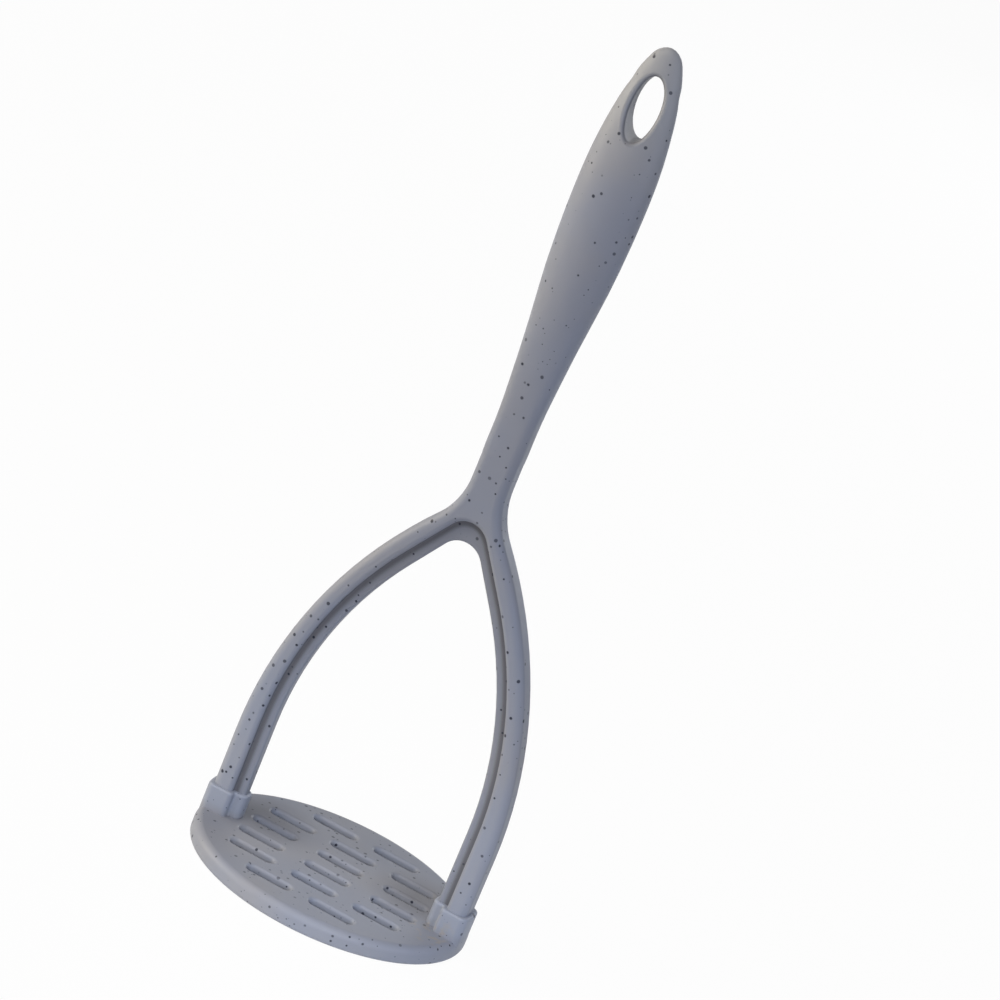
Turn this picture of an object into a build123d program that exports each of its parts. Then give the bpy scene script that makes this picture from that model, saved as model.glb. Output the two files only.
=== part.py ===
"""A potato masher: a soft-skinned handle with a forked yoke, set in the collars of a slotted oval plate.

Millimetres, +Z up. The origin is on the floor under the middle of the plate, the two arms stand along X
and the front of the handle looks towards -Y.
"""
from build123d import *
import math
import os

# The whole masher
overall_length = 275.0           # from the plate's flat underside to the tip of the handle
overrun = 1.0                    # how far a cutting solid runs past what it cuts

# The mashing plate, an oval that is longest between the arms
plate_length = 90.0
plate_width = 75.0
plate_thickness = 6.0
plate_top_round = 2.4
plate_foot_round = 1.4
face_skin = 1.2                  # soft wall over and under the stiff plate
rim_skin = 2.2                   # soft wall round it

# The slots that the potato is pressed through
slot_row_counts = (2, 3, 3, 3, 3, 2)
slot_spread_shares = (0.935, 0.93, 1.0, 1.0, 0.93, 0.935)
slot_end_margin = 14.8           # from the ends of the widest rows to the plate's ends
slot_web = 8.0                   # between two slots of the widest rows
slot_row_margin = 12.0           # from the first row's middle line to the plate's edge
slot_width = 3.9
slot_round = 1.1
slot_skin = 0.9                  # soft wall inside each slot of the stiff plate

# The arms: a rounded body outside and a narrower rib along its inner side
arm_set = 1.4                    # from the plate's ends to the arms' outer sides
arm_depth = 9.2                  # front to back
arm_body = 6.45                  # body alone, across
arm_edge_round = 2.6
arch_edge_round = 1.6
rib_depth_share = 0.46           # of the arms' depth
rib_reach = 3.7                  # of the rib past the body
rib_edge_round = 0.9
rib_root_round = 0.5
rib_cover = 1.3                  # of the body over the outer side of the rib
skin = 1.2                       # soft wall of the arms and the neck
core_edge_round = 1.0

# The fork, where the arms bend together and meet in the neck
arch_height = 125.1              # top of the arch under the fork, on the body
arch_crown = 6.9                 # radius of its top
rib_drop = 6.9                   # from there to the rib's own top
straight_height = 32.5           # below it the outer side of each arm is straight
straight_step = 5.5              # the inner side is straight this much higher
slope_share = 1.49               # of the arch's chord, in the slope of its upper sides
shoulder_rise = 12.6             # from the arch's top to where the neck is straight
shoulder_bend = 24.0             # radius into the neck
neck_length = 8.3                # straight neck of the fork, under the handle
neck_width = 11.7

# The handle
crown_length = 46.0              # from its widest place to the tip
grip_width = 21.8
grip_depth = 14.0
grip_skin = 3.0                  # soft wall round the core at the widest place
neck_step = 0.05                 # of the handle's foot over the fork's neck, all round
section_points = 28
oval_share = 0.65                # of the swell, over which the square neck turns into an oval grip
# Height, width and depth above the neck, up to the widest place
swell_shares = (
    (0.0, 0.0, 0.0), (0.12, 0.045, 0.03), (0.24, 0.145, 0.12), (0.36, 0.30, 0.29), (0.48, 0.47, 0.50),
    (0.60, 0.67, 0.72), (0.72, 0.845, 0.89), (0.86, 0.96, 0.985),
)
# Height, width and depth from the widest place to the tip
crown_shares = (
    (0.0, 1.0, 0.99), (0.15, 0.993, 0.94), (0.27, 0.970, 0.87), (0.41, 0.917, 0.765), (0.555, 0.835, 0.655),
    (0.67, 0.744, 0.575), (0.78, 0.637, 0.50), (0.854, 0.549, 0.44), (0.913, 0.452, 0.37),
    (0.957, 0.344, 0.29), (0.983, 0.222, 0.195), (0.996, 0.108, 0.10), (1.0, 0.02, 0.02),
)

# The hanging hole
hole_width = 8.5
hole_height = 19.6
hole_drop_share = 0.396          # of the crown, from the tip to the hole's middle
hole_round_share = 0.165         # of the wall that the hole leaves on each side
core_top_gap = 8.0               # from the hole to the end of the stiff core

# The collars and what holds the arms in them
collar_height = 8.0              # above the plate
collar_wall = 1.1
collar_lip_round = 0.8
collar_corner_round = 2.4
collar_round_share = 0.6         # of the step that each inner corner stands on
collar_groove_share = 0.3        # of the smaller step beside each inner groove
skin_lap = 3.0                   # how far the arm's skin reaches into its collar
cup_floor = 1.0                  # stiff floor under each tenon
pin_diameter = 2.0
pin_recess = 0.1                 # of each pin end in its cup

# Sizes that follow from these
slot_length = (plate_length - 2 * slot_end_margin - 2 * slot_web) / 3
slot_column_pitch = slot_length + slot_web
slot_row_pitch = (plate_width - 2 * slot_row_margin) / (len(slot_row_counts) - 1)
fork_half = plate_length / 2 - arm_set
rib_depth = arm_depth * rib_depth_share
shoulder_height = arch_height + shoulder_rise
neck_height = shoulder_height + neck_length
grip_height = overall_length - crown_length
hole_middle = overall_length - hole_drop_share * crown_length
hole_round = (grip_width - hole_width) / 2 * hole_round_share
collar_top = plate_thickness + collar_height
skin_foot = collar_top - skin_lap
tenon_foot = face_skin + cup_floor
pin_height = (plate_thickness + skin_foot) / 2
plate_core_thickness = plate_thickness - 2 * face_skin


def outer_side(inset, foot):
    """The fork's right outer side in the front view, from the neck down to a foot."""
    neck = neck_width / 2 - inset
    side = fork_half - inset
    shoulder = shoulder_bend + inset
    rise = shoulder_height - straight_height
    spread = side - neck
    bend = (rise ** 2 + spread ** 2) / (2 * spread) - shoulder
    bend_middle = Vector(side - bend, straight_height)
    shoulder_middle = Vector(neck + shoulder, shoulder_height)
    joint = bend_middle + (shoulder_middle - bend_middle) * (bend / (bend + shoulder))
    return Curve() + [
        Line((neck, neck_height), (neck, shoulder_height)),
        TangentArc((neck, shoulder_height), joint, tangent=(0, -1)),
        TangentArc((side, straight_height), joint, tangent=(0, 1)),
        Line((side, straight_height), (side, foot)),
    ]


def arch(half, top, inset, foot):
    """An arch in the front view from its left foot over the top to its right foot, grown by an inset."""
    start = straight_height + straight_step
    slope = slope_share * math.atan2(half, top - start)
    way = Vector(math.cos(slope), math.sin(slope))
    rise = top - start - arch_crown * (1 - way.Y)
    run = half - arch_crown * way.X
    bend = (rise - run * way.X / way.Y) / math.tan(slope / 2) + inset
    low = Vector(half + inset - bend, start) + way * bend
    high = Vector(0, top - arch_crown) + way * (arch_crown + inset)
    right = Curve() + [
        Line((half + inset, foot), (half + inset, start)),
        TangentArc((half + inset, start), low, tangent=(0, 1)),
        Line(low, high),
    ]
    over = ThreePointArc(high, (0, top + inset), (-high.X, high.Y))
    return Curve() + [right, over, mirror(right, about=Plane.YZ)]


def fork_face(outer, inner):
    """The fork's front view between its outer sides and an arch."""
    ends = [Line((-(outer @ 0).X, neck_height), outer @ 0)]
    outer_foot = outer @ 1
    inner_foot = inner @ 0
    for side in (1, -1):
        ends.append(Line((side * outer_foot.X, outer_foot.Y), (side * inner_foot.X, inner_foot.Y)))
    return make_face(Curve() + [outer, mirror(outer, about=Plane.YZ), inner, *ends])


def edges_on(solid, curve, nearest, farthest):
    """The edges of a solid over a curve of the front view, between two distances from the mid plane."""
    chosen = []
    curve = Plane.XZ * curve
    for edge in solid.edges():
        middle = edge @ 0.5
        near = curve.distance_to(Vertex(middle.X, 0, middle.Z)) < rib_edge_round / 4
        if near and nearest < abs(middle.Y) < farthest:
            chosen.append(edge)
    return chosen


def fork_body(inset, foot, outer, inner, edge_round):
    """The fork without its rib, with its outer edges rounded."""
    outers = Curve() + [outer, mirror(outer, about=Plane.YZ)]
    body = extrude(Plane.XZ * fork_face(outer, inner), arm_depth / 2 - inset, both=True)
    return fillet(edges_on(body, outers, rib_depth / 2, arm_depth), edge_round)


def fork_rib(inset, foot):
    """The narrower rib under the body's arch, square at its edges."""
    inner = arch(fork_half - arm_body - rib_reach, arch_height - rib_drop, inset, foot)
    face = fork_face(outer_side(inset + rib_cover, foot), inner)
    return extrude(Plane.XZ * face, rib_depth / 2 - inset, both=True), inner


def fork_outside(foot):
    """Both arms and the fork up to the neck, as seen from outside."""
    inner = arch(fork_half - arm_body, arch_height, 0, foot)
    body = fork_body(0, foot, outer_side(0, foot), inner, arm_edge_round)
    body = fillet(edges_on(body, inner, rib_depth / 2, arm_depth), arch_edge_round)
    rib, rib_inner = fork_rib(0, foot)
    rib = fillet(edges_on(rib, rib_inner, rib_depth / 4, rib_depth), rib_edge_round)
    whole = body + rib
    return fillet(edges_on(whole, inner, rib_depth / 4, rib_depth / 2 + rib_root_round / 4), rib_root_round)


def fork_core():
    """The stiff bar in both arms and the fork, with a tenon under each arm."""
    inner = arch(fork_half - arm_body, arch_height, skin, tenon_foot)
    body = fork_body(skin, tenon_foot, outer_side(skin, tenon_foot), inner, core_edge_round)
    return body + fork_rib(skin, tenon_foot)[0]


def rounded_reach(way, half_width, half_depth, corner):
    """How far a way from the middle must be stretched to meet a rounded rectangle."""
    across = abs(way[0])
    along = abs(way[1])
    if half_width / across * along <= half_depth - corner:
        return half_width / across
    if half_depth / along * across <= half_width - corner:
        return half_depth / along
    middle = (half_width - corner, half_depth - corner)
    length = across * across + along * along
    towards = (across * middle[0] + along * middle[1]) / length
    beyond = (middle[0] * middle[0] + middle[1] * middle[1] - corner * corner) / length
    return towards + math.sqrt(towards * towards - beyond)


def section(height, half_width, half_depth, corner, oval):
    """A level section of the handle: a rounded rectangle that turns into an oval as its share grows."""
    points = []
    shares = [index / section_points for index in range(section_points + 1)]
    for share in shares[:-1]:
        turn = math.tau * (share + 1 / (2 * section_points))
        way = (half_width * math.cos(turn), half_depth * math.sin(turn))
        reach = 1
        if oval < 1:
            reach = oval + (1 - oval) * rounded_reach(way, half_width, half_depth, corner)
        points.append((way[0] * reach, way[1] * reach))
    outline = Edge.make_spline(points, periodic=True, parameters=shares)
    return Plane.XY.offset(height) * make_face(outline)


def handle_stations():
    """Height, half width, half depth, share of the swell and share of the oval of each section."""
    for rise, wide, deep in swell_shares:
        half_width = (neck_width + wide * (grip_width - neck_width)) / 2 + neck_step
        half_depth = (arm_depth + deep * (grip_depth - arm_depth)) / 2 + neck_step
        height = neck_height + rise * (grip_height - neck_height)
        yield height, half_width, half_depth, rise, min(rise / oval_share, 1)
    for rise, wide, deep in crown_shares:
        height = grip_height + rise * crown_length
        yield height, wide * grip_width / 2 + neck_step, deep * grip_depth / 2 + neck_step, 1, 1


def grip():
    """The handle above the neck, with its rounded tip."""
    return loft([section(z, wide, deep, arm_edge_round, oval) for z, wide, deep, _, oval in handle_stations()])


def pierced_grip():
    """The handle with its hanging hole, whose edges roll in softly on both faces."""
    shape = Plane.XZ * Pos(0, hole_middle) * Ellipse(hole_width / 2, hole_height / 2)
    bored = grip() - extrude(shape, grip_depth, both=True)
    rims = []
    for edge in bored.edges():
        middle = edge @ 0.5
        inside = abs(middle.Z - hole_middle) < hole_height and abs(middle.X) < hole_width
        if inside and edge.length > hole_height and abs(middle.Y) > hole_round / 2:
            rims.append(edge)
    return fillet(rims, hole_round)


def grip_core():
    """The stiff bar in the handle, with a softer wall round it the wider the handle is."""
    faces = []
    for z, wide, deep, swell, oval in handle_stations():
        inset = skin + (grip_skin - skin) * swell
        if z < hole_middle:
            faces.append(section(z, wide - inset, deep - inset, core_edge_round, oval))
    top = hole_middle - hole_height / 2 - core_top_gap
    room = Pos(0, 0, (neck_height + top) / 2) * Box(grip_width, grip_width, top - neck_height)
    return loft(faces) & room


def lock_pin(side):
    """A steel cross pin through a cup and the tenon in it."""
    middle = Location((side * (fork_half - arm_body / 2), 0, pin_height))
    return middle * Rotation(90, 0, 0) * Cylinder(pin_diameter / 2, arm_depth - 2 * pin_recess)


def lock_pins():
    return lock_pin(1) + lock_pin(-1)


def handle_core():
    return grip_core() + fork_core() - lock_pins()


def handle_skin(core):
    """The soft moulding over the handle, the fork and the arms."""
    return pierced_grip() + fork_outside(skin_foot) - core


def slot_places():
    """The middle of every slot, row by row."""
    middle_row = (len(slot_row_counts) - 1) / 2
    for row, (count, spread) in enumerate(zip(slot_row_counts, slot_spread_shares)):
        for column in range(count):
            x = (column - (count - 1) / 2) * spread * slot_column_pitch
            yield x, (row - middle_row) * slot_row_pitch


def slots(wall):
    """All slots as cutting solids, wider by a wall that lines them."""
    shape = SlotOverall(slot_length + 2 * wall, slot_width + 2 * wall)
    return [extrude(Location((x, y, -overrun)) * shape, plate_thickness + 2 * overrun) for x, y in slot_places()]


def oval_plate(inset, bottom, thickness, top_round, foot_round):
    shape = Ellipse(plate_length / 2 - inset, plate_width / 2 - inset)
    plate = extrude(Location((0, 0, bottom)) * shape, thickness)
    plate = fillet(plate.faces().sort_by(Axis.Z)[-1].edges(), top_round)
    return fillet(plate.faces().sort_by(Axis.Z)[0].edges(), foot_round)


def collar():
    """The right collar: the arm's section grown by a wall, cut off flush with the plate's rim."""
    body_inner = fork_half - arm_body - collar_wall
    rib_inner = body_inner - rib_reach
    rib_half = rib_depth / 2 + collar_wall
    reach = arm_body + collar_wall + arm_set + overrun
    body_shape = Pos(body_inner + reach / 2, 0) * Rectangle(reach, arm_depth + 2 * collar_wall)
    rib_shape = Pos((rib_inner + body_inner) / 2, 0) * Rectangle(rib_reach, 2 * rib_half)
    shape = (body_shape + rib_shape) & Ellipse(plate_length / 2, plate_width / 2)
    near = overrun / 4
    step = (arm_depth - rib_depth) / 2
    groove_round = collar_groove_share * min(step, rib_reach)
    flush = shape.vertices().filter_by(lambda point: point.X > body_inner + collar_wall)
    shape = fillet(flush, collar_corner_round)
    ends = shape.vertices().filter_by(lambda point: point.X < body_inner - near)
    shape = fillet(ends, collar_round_share * rib_reach)
    inner = shape.vertices().filter_by(lambda point: abs(point.X - body_inner) < near)
    shape = fillet(inner.filter_by(lambda point: abs(point.Y) > rib_half + near), collar_round_share * step)
    inner = shape.vertices().filter_by(lambda point: abs(point.X - body_inner) < near)
    shape = fillet(inner.filter_by(lambda point: abs(point.Y) < rib_half + near), groove_round)
    bottom = (plate_thickness - plate_top_round + plate_foot_round) / 2
    block = extrude(Location((0, 0, bottom)) * shape, collar_top - bottom)
    return fillet(block.faces().sort_by(Axis.Z)[-1].edges(), collar_lip_round)


def plate_core():
    """The stiff plate with its slots and the two cups that take the tenons."""
    plate = oval_plate(rim_skin, face_skin, plate_core_thickness, plate_top_round / 2, plate_foot_round / 2)
    plate -= slots(slot_skin)
    room = Pos(0, 0, (tenon_foot + skin_foot) / 2) * Box(plate_length, plate_width, skin_foot - tenon_foot)
    cups = fork_outside(tenon_foot) & room
    return plate + cups - fork_core() - lock_pins()


def plate_skin(inner_pieces):
    """The soft moulding over the plate, closed round everything that it was moulded on."""
    moulding = oval_plate(0, 0, plate_thickness, plate_top_round, plate_foot_round) - slots(0)
    rims = []
    for edge in moulding.edges():
        level = abs((edge @ 0.5).Z - plate_thickness / 2) > plate_thickness / 2 - slot_round / 4
        if level and edge.geom_type in (GeomType.LINE, GeomType.CIRCLE):
            rims.append(edge)
    moulding = fillet(rims, slot_round)
    moulding += [collar(), mirror(collar(), about=Plane.YZ)]
    for piece in inner_pieces:
        moulding -= piece
    return moulding


def main():
    os.makedirs("parts", exist_ok=True)
    core = handle_core()
    cover = handle_skin(core)
    stiff_plate = plate_core()
    pins = {"right_lock_pin": lock_pin(1), "left_lock_pin": lock_pin(-1)}
    pieces = {
        "handle_core": core,
        "handle_skin": cover,
        "plate_core": stiff_plate,
        "plate_skin": plate_skin([stiff_plate, core, cover, *pins.values()]),
        **pins,
    }
    for name, piece in pieces.items():
        export_step(piece, f"parts/{name}.step")


if __name__ == "__main__":
    main()
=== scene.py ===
"""The looks of a speckled silicone potato masher over its CAD frame: materials, camera, lamps and floor.

Everything is in metres, in the frame's axes: +Z up the handle, the front looks towards -Y. A mask goes from
nothing at the first of its two ends to full at the second, and its share says how much a full mask does.
"""
import bpy
import math
from mathutils import Matrix, Vector


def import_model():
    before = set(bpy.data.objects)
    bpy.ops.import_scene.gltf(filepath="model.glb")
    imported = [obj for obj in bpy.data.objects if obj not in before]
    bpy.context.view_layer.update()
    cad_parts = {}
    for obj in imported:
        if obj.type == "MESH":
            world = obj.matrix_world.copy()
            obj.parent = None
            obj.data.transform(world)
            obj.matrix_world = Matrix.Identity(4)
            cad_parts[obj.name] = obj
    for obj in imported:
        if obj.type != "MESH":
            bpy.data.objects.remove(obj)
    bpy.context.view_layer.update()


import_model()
mm = 0.001

# The camera, as it stood for the photograph
camera_azimuth = math.radians(13.81)
camera_elevation = math.radians(19.62)
camera_roll = math.radians(22.49)
camera_distance = 1147.17 * mm
camera_aim = Vector((3.64, 0.89, 133.74)) * mm
camera_lens = 143.7

# The lamps stand round the middle of the masher: azimuth from the front, elevation, power and colour
lamp_aim = Vector((0, 0, 120)) * mm
lamp_distance = 1.4
lamp_size = 0.9
lamps = {
    "high_left_window": (-32, 58, 8.2, (1.0, 0.97, 0.95)),
    "low_left_lamp": (-75, 8, 15.5, (1.0, 0.92, 0.77)),
    "right_window": (53, 15, 5.9, (0.64, 0.75, 1.0)),
    "back_window": (168, 12, 4.5, (0.92, 0.95, 1.0)),
}
plate_lamp_aim = Vector((4, -16, 8)) * mm
plate_lamp_distance = 0.5
plate_lamp_radius = 0.0625
plate_lamp_cone = math.radians(21)
plate_lamp = (14, 23, 6.0, (0.91, 0.95, 1.0))
surround_strength = 0.05          # of the white surround, as light on the object
floor_colour = (0.92, 0.92, 0.92)
floor_glow = 0.96                 # how much of the floor the camera sees as plain white
floor_rise = 0.05 * mm            # over the plate's flat face, so that the two don't lie in one plane

# Colours, in linear light
silicone_colour = (0.262, 0.273, 0.318)
silicone_warm = (0.275, 0.278, 0.308)
silicone_cool = (0.250, 0.268, 0.326)
# painted light: the colour mixed in where the collars and the lower arms are painted paler
painted_light_colour = (0.285, 0.310, 0.380)
# painted light: the colour mixed in where the handle's tip is painted paler
tip_light_colour = (0.330, 0.332, 0.345)
speck_colour = (0.008, 0.010, 0.024)
stain_colour = (0.36, 0.30, 0.21)
# painted shade: the colour mixed in where the rib grooves, the arms' sides, the hanging hole and the plate
# behind the collars are painted darker
painted_shade_colour = (0.106, 0.105, 0.118)
nylon_colour = (0.05, 0.05, 0.055)
steel_colour = (0.55, 0.55, 0.57)

# The silicone's slow drift between its warm and cool tints, the mottle over it, and its gloss
drift_lump = 38 * mm
drift_ends = (0.35, 0.65)
mottle_lump = 9 * mm
mottle_ends = (0.3, 0.7)
mottle_share = 0.5
silicone_specular = 0.3
satin_lump = 6 * mm
satin_least = 0.42
satin_spread = 0.12

# Dark grains in the silicone: mean spacing, smallest and largest radius, share that is there
large_specks = (2.8 * mm, 0.34 * mm, 0.70 * mm, 0.8)
small_specks = (2.0 * mm, 0.14 * mm, 0.32 * mm, 0.6)
small_speck_share = 0.85
small_speck_seed = 7              # added to a material's own seed
speck_edge = (0.0, 0.4)
speck_share = 0.95
handle_crowd = 0.7                # of the plate's number of grains, on the handle

# The yellowish stain on the plate, at the front of the right collar's foot
stain_middle = Vector((36, -8, 6)) * mm
stain_ends = (9 * mm, 3 * mm)
stain_spot = 2.2 * mm
spot_ends = (0.5, 0.68)
stain_share = 0.45

# Painted shade in the groove beside each rib, found by how closely its walls stand, and painted shade on the
# arms' sides
groove_reach = 2.8 * mm
groove_rays = 32
groove_shade_ends = (0.97, 0.80)
groove_shade_share = 0.70
side_shade_share = 0.19
rib_ends = (1.7 * mm, 2.0 * mm)   # to the front or the back of the arms' middle
side_ends = (3.3 * mm, 2.7 * mm)  # the same way
fork_ends = (136 * mm, 124 * mm)  # heights below the neck

# Heights where painted light makes the collars paler than the plate, the arms take some of that painted
# light, and painted light makes the tip paler
collar_light_ends = (6 * mm, 9 * mm)
collar_light_share = 0.8
leg_light_ends = (80 * mm, 20 * mm)
leg_light_share = 0.45
tip_light_ends = (225 * mm, 268 * mm)
tip_light_share = 0.85

# The hanging hole, as it is in the CAD, and the painted shade on the wall in it
hole_middle = 256.8 * mm
hole_half_width = 4.25 * mm
hole_half_height = 9.8 * mm
hole_shade_ends = (1.32, 1.04)
hole_shade_share = 0.6

# The middle and the ends of the painted shadow on the plate's top behind each collar
foot_aside = 27 * mm
foot_behind = 8 * mm
foot_shadow_ends = (20 * mm, 4 * mm)
plate_top_ends = (4.6 * mm, 5.8 * mm)
collar_foot_ends = (6.6 * mm, 6.2 * mm)
foot_lump = 7 * mm
foot_least = 0.45
foot_spread = 0.3

# The relief: a fine grain all over, and the thin mould seam round the handle and the arms
grain_lump = 0.35 * mm
grain_height = 0.25
seam_ends = (0.16 * mm, 0.16 * mm / 3)
relief = 0.06 * mm
relief_share = 0.6

# The hidden pieces: the size of their mottle, their relief and how rough they are
nylon_lump = 1.2 * mm
nylon_pale = 1.3
nylon_roughness = 0.45
nylon_grain = 0.25 * mm
nylon_relief = 0.01 * mm
nylon_relief_share = 0.5
steel_lump = 0.4 * mm
steel_dark = 0.85
steel_least = 0.25
steel_spread = 0.15

# The floor reaches far past what the camera sees
floor_width = 12
floor_roughness = 0.9


class Socket:
    """A shader value that can be added to, multiplied and compared like a number."""

    def __init__(self, tree, output):
        self.tree = tree
        self.output = output

    def node(self, kind, inputs=(), result=0, **settings):
        """A new node of a kind, with its settings first and then its inputs."""
        made = self.tree.nodes.new(kind)
        for name, value in settings.items():
            setattr(made, name, value)
        for key, value in dict(inputs).items():
            if isinstance(value, Socket):
                self.tree.links.new(value.output, made.inputs[key])
            else:
                made.inputs[key].default_value = value
        return Socket(self.tree, made.outputs[result])

    def maths(self, operation, *others):
        values = dict(enumerate((self, *others)))
        return self.node("ShaderNodeMath", values, operation=operation)

    def __add__(self, other):
        return self.maths("ADD", other)

    def __radd__(self, other):
        return self + other

    def __sub__(self, other):
        return self.maths("SUBTRACT", other)

    def __rsub__(self, other):
        return self * -1.0 + other

    def __mul__(self, other):
        return self.maths("MULTIPLY", other)

    def __rmul__(self, other):
        return self * other

    def __truediv__(self, other):
        return self.maths("DIVIDE", other)

    def __lt__(self, other):
        return self.maths("LESS_THAN", other)

    def ramp(self, low, high):
        """0 at low, 1 at high, with soft ends."""
        inputs = {"Value": self, "From Min": low, "From Max": high}
        return self.node("ShaderNodeMapRange", inputs, interpolation_type="SMOOTHSTEP")

    def split(self):
        """The three parts of a vector or a colour."""
        parts = self.node("ShaderNodeSeparateXYZ", {0: self}).output.node
        return [Socket(self.tree, output) for output in parts.outputs]

    def moved(self, offset):
        return self.node("ShaderNodeVectorMath", {0: self, 1: offset}, operation="ADD")

    def distance(self, point):
        return self.node("ShaderNodeVectorMath", {0: self, 1: point}, result="Value", operation="DISTANCE")

    def noise(self, size, detail=2.0):
        """Noise from 0 to 1, whose lumps are about a size across."""
        inputs = {"Vector": self, "Scale": 1 / size, "Detail": detail}
        return self.node("ShaderNodeTexNoise", inputs, noise_dimensions="3D")

    def mixed(self, first, second):
        """A colour between two, by this share."""
        made = self.node("ShaderNodeMix", {"Factor": self}, result="Result", data_type="RGBA").output.node
        colours = [socket for socket in made.inputs if socket.type == "RGBA"]
        for socket, value in zip(colours, (first, second)):
            if isinstance(value, Socket):
                self.tree.links.new(value.output, socket)
            else:
                socket.default_value = (*value, 1)
        return Socket(self.tree, next(output for output in made.outputs if output.type == "RGBA"))


def tinted(colour, share):
    """A plain colour made paler or darker by a share."""
    return tuple(share * part for part in colour)


def new_material(name):
    """A material with a plain surface shader, and the object's own coordinates to pattern it by."""
    material = bpy.data.materials.new(name)
    material.use_nodes = True
    tree = material.node_tree
    shader = tree.nodes["Principled BSDF"]
    coordinates = tree.nodes.new("ShaderNodeTexCoord")
    return material, shader, Socket(tree, coordinates.outputs["Object"])


def feed(shader, name, value):
    value.tree.links.new(value.output, shader.inputs[name])


def bump(shader, height, distance, strength):
    inputs = {"Height": height, "Distance": distance, "Strength": strength}
    feed(shader, "Normal", height.node("ShaderNodeBump", inputs))


def specks(place, spacing, smallest, largest, share, seed, crowd):
    """How much of a dark speck is here: grains that float in the silicone and show where they meet its skin.

    Each grain's size, its being there and its strength come by chance, and noise makes its outline uneven.
    """
    shifted = place.moved((seed * spacing, 0, 0))
    grain = shifted.node("ShaderNodeTexVoronoi", {"Vector": shifted, "Scale": 1 / spacing}, result="Distance")
    size, presence, strength = Socket(place.tree, grain.output.node.outputs["Color"]).split()
    reach = (size * (largest - smallest) + smallest) / spacing
    reach = reach * (place.noise(spacing / 3) * 0.5 + 0.75)
    shown = presence < share * crowd
    strength = (strength * 0.6 + 0.6).maths("MINIMUM", 1.0)
    return ((reach - grain) / reach).ramp(*speck_edge) * shown * strength


def stain(place):
    """Faint yellowish marks on the plate where it meets the right collar."""
    near = place.distance(stain_middle).ramp(*stain_ends)
    return place.noise(stain_spot, 4.0).ramp(*spot_ends) * near * stain_share


def painted_groove_shade(place):
    """Painted shade: how deep in the groove between an arm and its rib, with a little on the ribs and the
    arms' sides.
    """
    settings = {"only_local": True, "samples": groove_rays}
    near = place.node("ShaderNodeAmbientOcclusion", {"Distance": groove_reach}, "AO", **settings)
    _, across, height = place.split()
    off = across.maths("ABSOLUTE")
    sides = off.ramp(*side_ends) * height.ramp(*fork_ends)
    return sides * (near.ramp(*groove_shade_ends) * off.ramp(*rib_ends) * groove_shade_share + side_shade_share)


def painted_hole_shade(place):
    """Painted shade where the skin goes through the hanging hole, which is dark in the photograph."""
    along, _, height = place.split()
    aside = along / hole_half_width
    above = (height - hole_middle) / hole_half_height
    return (aside * aside + above * above).ramp(*hole_shade_ends) * hole_shade_share


def painted_foot_shadow(place):
    """Painted shadow: how near to the foot of a collar, on the plate's top behind it, which is darker in the
    photograph.
    """
    along, across, height = place.split()
    aside = along.maths("ABSOLUTE") - foot_aside
    behind = across - foot_behind
    away = (aside * aside + behind * behind).maths("SQRT")
    top = height.ramp(*plate_top_ends) * height.ramp(*collar_foot_ends)
    return away.ramp(*foot_shadow_ends) * top * (place.noise(foot_lump) * foot_spread + foot_least)


def plate_stain_and_painted_light(place, colour):
    """The plate's marks over the silicone's colour: painted light that makes the collars paler, a painted
    shadow behind them, and the real stain.
    """
    _, _, height = place.split()
    # painted light: the collars paler than the plate
    colour = (height.ramp(*collar_light_ends) * collar_light_share).mixed(colour, painted_light_colour)
    # painted shadow on the plate's top behind each collar
    colour = painted_foot_shadow(place).mixed(colour, painted_shade_colour)
    return stain(place).mixed(colour, stain_colour)


def handle_painted_light(place, colour):
    """The handle's painted light and shade over the silicone's colour: painted light on its ends, painted
    shade in the grooves and on the wall in the hole.
    """
    _, _, height = place.split()
    # painted light: the lower arms take some of the collars' paleness
    colour = (height.ramp(*leg_light_ends) * leg_light_share).mixed(colour, painted_light_colour)
    # painted light: the tip paler
    colour = (height.ramp(*tip_light_ends) * tip_light_share).mixed(colour, tip_light_colour)
    # painted shade in the rib grooves and on the arms' sides
    colour = painted_groove_shade(place).mixed(colour, painted_shade_colour)
    # painted shade on the wall of the hanging hole
    return painted_hole_shade(place).mixed(colour, painted_shade_colour)


def seam(place):
    """The thin raised line that a mould's two halves leave round the handle, halfway through its depth."""
    _, across, _ = place.split()
    return across.maths("ABSOLUTE").ramp(*seam_ends)


def silicone(name, seed, tints_and_painted_light, crowd=1.0, seamed=False):
    """Grey silicone with a faint drift of colour, dark specks of mixed sizes and a fine satin grain."""
    material, shader, place = new_material(name)
    shader.inputs["Specular IOR Level"].default_value = silicone_specular
    colour = place.noise(drift_lump).ramp(*drift_ends).mixed(silicone_warm, silicone_cool)
    colour = (place.noise(mottle_lump, 4.0).ramp(*mottle_ends) * mottle_share).mixed(colour, silicone_colour)
    colour = tints_and_painted_light(place, colour)
    small = specks(place, *small_specks, seed + small_speck_seed, crowd) * small_speck_share
    dark = specks(place, *large_specks, seed, crowd).maths("MAXIMUM", small)
    feed(shader, "Base Color", (dark * speck_share).mixed(colour, speck_colour))
    feed(shader, "Roughness", place.noise(satin_lump, 3.0) * satin_spread + satin_least)
    height = place.noise(grain_lump) * grain_height
    if seamed:
        height = height + seam(place)
    bump(shader, height, relief, relief_share)
    return material


def nylon(name):
    """Dark moulded nylon, for the two hidden stiff pieces."""
    material, shader, place = new_material(name)
    shader.inputs["Roughness"].default_value = nylon_roughness
    mottle = place.noise(nylon_lump, 3.0)
    feed(shader, "Base Color", mottle.mixed(nylon_colour, tinted(nylon_colour, nylon_pale)))
    bump(shader, place.noise(nylon_grain), nylon_relief, nylon_relief_share)
    return material


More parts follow.
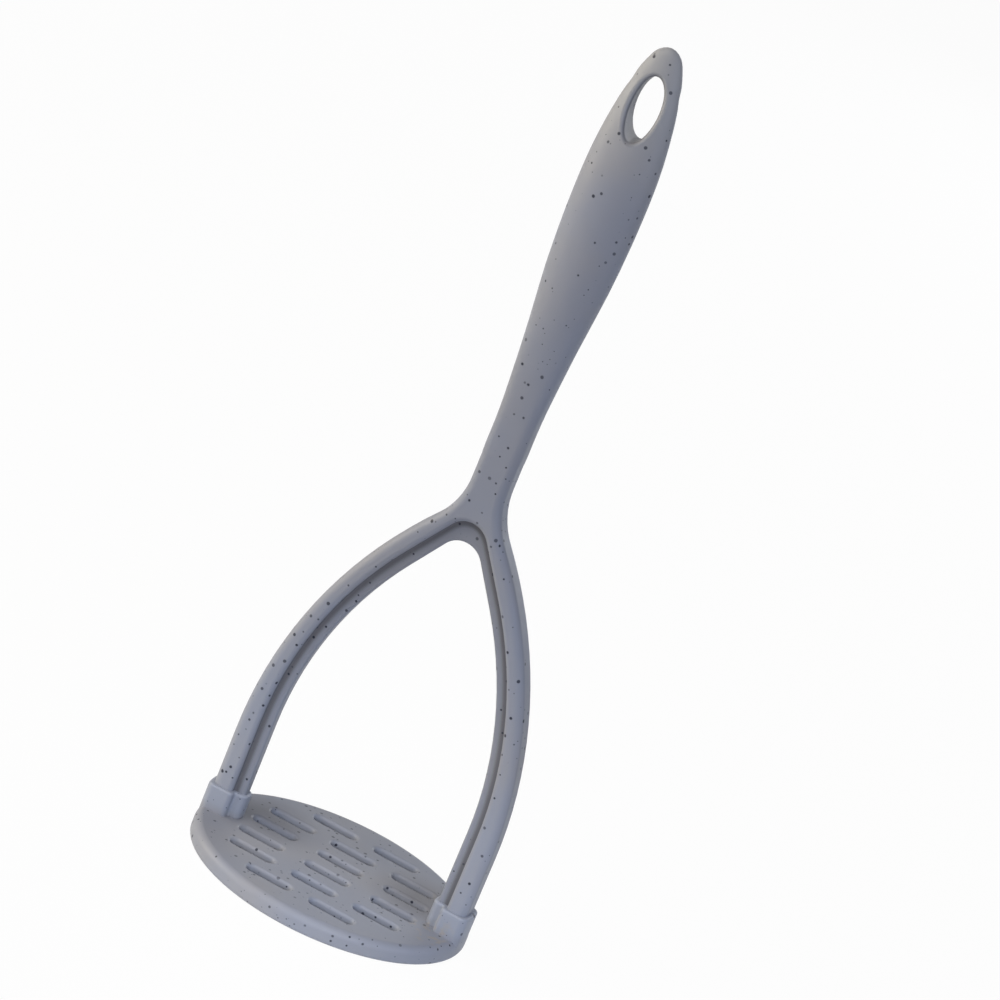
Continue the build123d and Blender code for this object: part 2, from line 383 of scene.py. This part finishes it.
def steel(name):
    """Drawn steel, for the two hidden pins."""
    material, shader, place = new_material(name)
    shader.inputs["Metallic"].default_value = 1.0
    drawn = place.noise(steel_lump, 3.0)
    feed(shader, "Base Color", drawn.mixed(steel_colour, tinted(steel_colour, steel_dark)))
    feed(shader, "Roughness", drawn * steel_spread + steel_least)
    return material


def dress():
    """Gives every CAD node its material."""
    looks = {
        "handle_skin": silicone("speckled_silicone_handle", 1, handle_painted_light, crowd=handle_crowd, seamed=True),
        "plate_skin": silicone("speckled_silicone_plate", 3, plate_stain_and_painted_light),
    }
    looks["handle_core"] = looks["plate_core"] = nylon("moulded_nylon")
    looks["left_lock_pin"] = looks["right_lock_pin"] = steel("drawn_steel")
    for node, material in looks.items():
        piece = bpy.data.objects[node]
        for slot in piece.material_slots:
            slot.material = material


def way(azimuth, elevation):
    """The direction from the masher to a place at an azimuth from its front, and an elevation."""
    level = math.cos(elevation)
    return Vector((math.sin(azimuth) * level, -math.cos(azimuth) * level, math.sin(elevation)))


def camera():
    """The photograph's camera."""
    back = way(camera_azimuth, camera_elevation)
    right = Vector((math.cos(camera_azimuth), math.sin(camera_azimuth), 0))
    level = Matrix((right, back.cross(right), back)).transposed()
    turned = level @ Matrix.Rotation(camera_roll, 3, "Z")
    lens = bpy.data.cameras.new("photo_camera")
    lens.lens = camera_lens
    made = bpy.data.objects.new("photo_camera", lens)
    made.matrix_world = Matrix.Translation(camera_aim + back * camera_distance) @ turned.to_4x4()
    bpy.context.collection.objects.link(made)
    bpy.context.scene.camera = made


def hang(light, aim, distance, azimuth, elevation, power, colour):
    """Puts a lamp where it looks at an aim from a distance."""
    light.energy = power
    light.color = colour
    made = bpy.data.objects.new(light.name, light)
    towards = way(math.radians(azimuth), math.radians(elevation))
    made.location = aim + towards * distance
    made.rotation_euler = towards.to_track_quat("Z", "Y").to_euler()
    bpy.context.collection.objects.link(made)


def light_up():
    """Large soft lamps round the masher, and a small one whose cone takes in only the plate."""
    for name, settings in lamps.items():
        light = bpy.data.lights.new(name, "AREA")
        light.shape = "DISK"
        light.size = lamp_size
        hang(light, lamp_aim, lamp_distance, *settings)
    spot = bpy.data.lights.new("plate_lamp", "SPOT")
    spot.spot_size = plate_lamp_cone
    spot.spot_blend = 1.0
    spot.shadow_soft_size = plate_lamp_radius
    hang(spot, plate_lamp_aim, plate_lamp_distance, *plate_lamp)


def seen_rays(tree):
    """1 where the camera looks, or looks by way of metal or glass."""
    rays = tree.nodes.new("ShaderNodeLightPath")
    seen = Socket(tree, rays.outputs["Is Camera Ray"])
    for name in ("Is Glossy Ray", "Is Transmission Ray"):
        seen = seen.maths("MAXIMUM", Socket(tree, rays.outputs[name]))
    return seen


def world():
    """A white surround for the camera, and a faint one for the light on the object."""
    bpy.context.scene.view_settings.view_transform = "Standard"
    made = bpy.data.worlds.new("studio")
    made.use_nodes = True
    bpy.context.scene.world = made
    background = made.node_tree.nodes["Background"]
    background.inputs["Color"].default_value = (1, 1, 1, 1)
    strength = seen_rays(made.node_tree) * (1.0 - surround_strength) + surround_strength
    feed(background, "Strength", strength)


def floor():
    """A wide floor that the camera sees as white, with the masher's soft shadow."""
    bpy.ops.mesh.primitive_plane_add(size=floor_width, location=(0, 0, floor_rise))
    plane = bpy.context.object
    plane.name = "floor"
    material = bpy.data.materials.new("white_floor")
    material.use_nodes = True
    tree = material.node_tree
    shader = tree.nodes["Principled BSDF"]
    shader.inputs["Base Color"].default_value = (*floor_colour, 1)
    shader.inputs["Roughness"].default_value = floor_roughness
    glow = tree.nodes.new("ShaderNodeEmission")
    mix = tree.nodes.new("ShaderNodeMixShader")
    feed(mix, "Fac", seen_rays(tree) * floor_glow)
    tree.links.new(shader.outputs[0], mix.inputs[1])
    tree.links.new(glow.outputs[0], mix.inputs[2])
    tree.links.new(mix.outputs[0], tree.nodes["Material Output"].inputs["Surface"])
    plane.data.materials.append(material)


dress()
camera()
world()
floor()
light_up()
